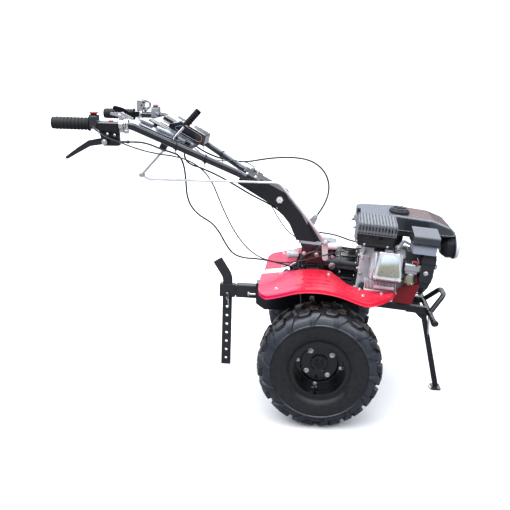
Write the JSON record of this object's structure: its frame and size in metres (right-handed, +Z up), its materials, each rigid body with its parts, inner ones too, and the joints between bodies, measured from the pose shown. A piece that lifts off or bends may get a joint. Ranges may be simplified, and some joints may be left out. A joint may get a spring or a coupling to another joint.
{
  "type": "hand tractor",
  "caption": "Walk-behind tractor with field tyres under fenders, a small petrol engine, raised handlebars, hand controls, a rear drawbar with a drilled depth stake, and a folding front stand.",
  "frame": {"origin": "middle of the bounding box on the floor, under the machine", "axes": "+X forward, the way it drives, +Y to its left, +Z up; the wheels turn about a Y line 0.217 m ahead of the origin"},
  "size_m": [1.5508, 0.8106, 1.2097],
  "materials": {
    "black_paint": "semi-gloss",
    "black_plastic": "moulded",
    "cable_sheath": "smooth",
    "cast_alloy": "as cast",
    "console_plastic": "moulded",
    "cover_metal": "cast, matt",
    "grip_rubber": "ribbed",
    "guard_steel": "heat-resistant matt",
    "lever_steel": "zinc plated",
    "red_paint": "gloss",
    "silver_paint": "satin",
    "spring_steel": "zinc plated",
    "tank_paint": "high gloss",
    "tyre_rubber": "lugged",
    "zinc_steel": "zinc plated"
  },
  "bodies": {
    "frame": {"air_cleaner": "black_plastic", "air_duct": "black_plastic", "bumper_bar": "black_paint", "bumper_hoop": "black_paint", "carburettor": "cast_alloy", "clutch_cable": "cable_sheath", "clutch_housing": "black_paint", "clutch_lever": "black_plastic", "clutch_lever_bracket": "black_paint", "column": "black_paint", "console_box": "console_plastic", "cross_plate": "silver_paint", "cylinder_head": "cast_alloy", "depth_stake": "black_paint", "drawbar": "black_paint", "engine_block": "cast_alloy", "engine_rails": "black_paint", "fan_shroud": "red_paint", "fender_brackets": "black_paint", "fender_left": "red_paint", "fender_rears": "red_paint", "fender_right": "red_paint", "fuel_cap": "black_plastic", "fuel_tank": "tank_paint", "gearbox_housing": "black_paint", "grips": "grip_rubber", "handlebar_bracket": "black_paint", "handlebar_left": "black_paint", "handlebar_right": "black_paint", "headlamp": "black_plastic", "hitch_bracket": "black_paint", "lamp_bracket": "black_paint", "lamp_switch": "black_plastic", "lamp_wire": "cable_sheath", "left_cable": "cable_sheath", "muffler": "guard_steel", "muffler_guard": "guard_steel", "pivot_bolt": "zinc_steel", "recoil_starter": "black_plastic", "shift_arm": "zinc_steel", "shift_lever": "lever_steel", "shift_rod": "zinc_steel", "stake_pin": "zinc_steel", "stake_sleeve": "black_paint", "stand_bracket": "black_paint", "stand_spring": "spring_steel", "stop_switch": "black_plastic", "stop_wire": "cable_sheath", "throttle_cable": "cable_sheath", "throttle_lever": "zinc_steel", "thumb_lever": "zinc_steel", "tube_clamps": "black_paint", "valve_cover": "cover_metal"},
    "wheels": {"axle_shaft": "zinc_steel", "wheel_hubs": "black_paint", "wheel_rim_right": "black_paint", "wheel_rim_left": "black_paint", "tyre_right": "tyre_rubber", "tyre_left": "tyre_rubber"},
    "stand": {"stand_leg": "black_paint"}
  },
  "joints": [
    {"name": "wheel_spin", "type": "hinge", "parent": "frame", "child": "wheels", "pos_m": [0.217, 0, 0.24], "axis": [0, 1, 0], "continuous": true},
    {"name": "stand_fold", "type": "hinge", "parent": "frame", "child": "stand", "pos_m": [0.655, 0, 0.334], "axis": [0, 1, 0], "range_deg": [0, 90], "deforming": ["stand_spring"]}
  ]
}
